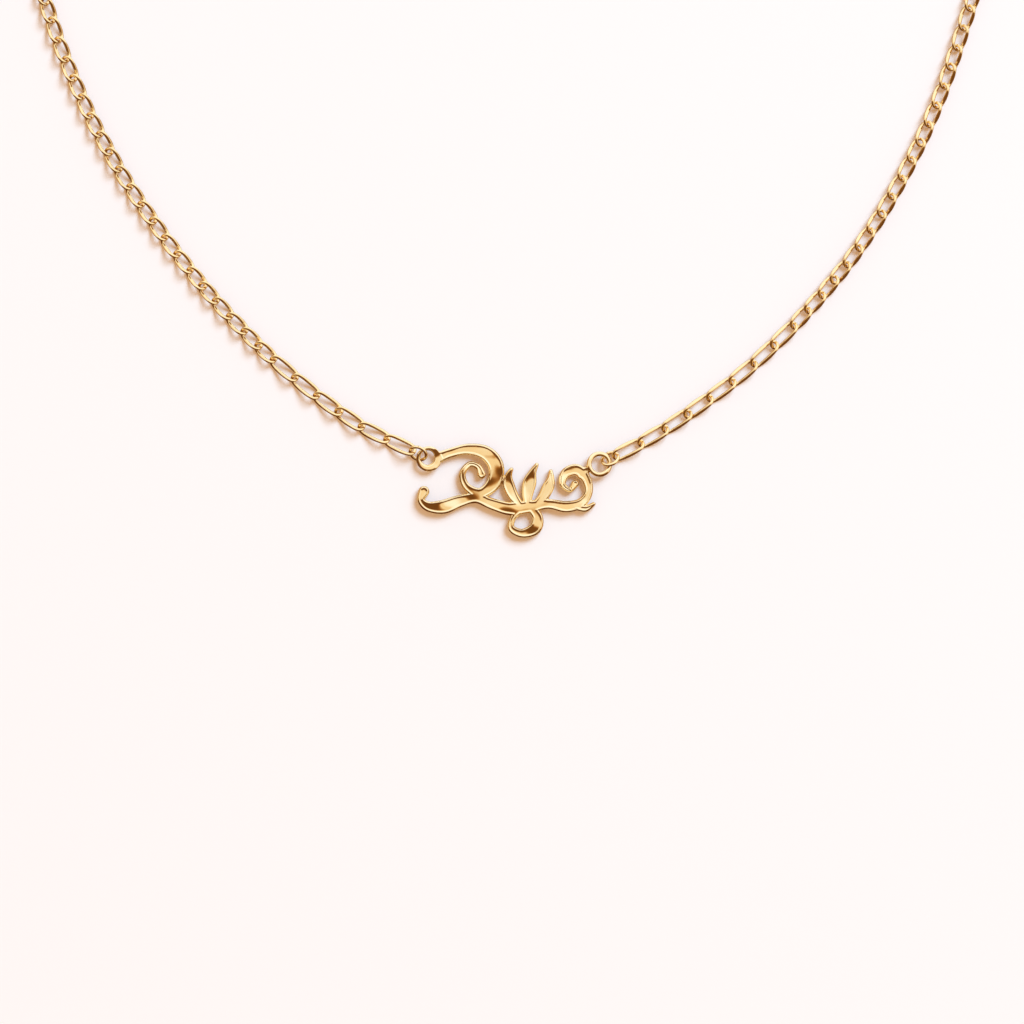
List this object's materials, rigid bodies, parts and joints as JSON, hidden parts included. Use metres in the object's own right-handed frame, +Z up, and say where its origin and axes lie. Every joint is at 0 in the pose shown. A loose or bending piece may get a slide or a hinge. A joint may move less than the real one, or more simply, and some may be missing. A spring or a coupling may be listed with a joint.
{
  "type": "nameplate necklace",
  "caption": "Gold pendant necklace: pierced scrollwork plate joined by small rings to a cable chain of twisted oval links, closed at the back by a spring ring clasp.",
  "frame": {"origin": "middle of the plate's flat back, which lies on the resting surface", "axes": "+Z up out of the plate's face, +Y from the plate to the clasp, +X to the right seen from above"},
  "size_m": [0.135, 0.1696, 0.003],
  "materials": {
    "gold": "mirror polished gold",
    "chain_gold": "bright polished gold",
    "wire_gold": "bright polished gold"
  },
  "bodies": {
    "root": {"nameplate": "gold", "jump_ring_left": "wire_gold", "jump_ring_right": "wire_gold", "chain_left": "chain_gold", "chain_right": "chain_gold", "clasp": "wire_gold", "end_ring": "wire_gold"}
  },
  "joints": []
}
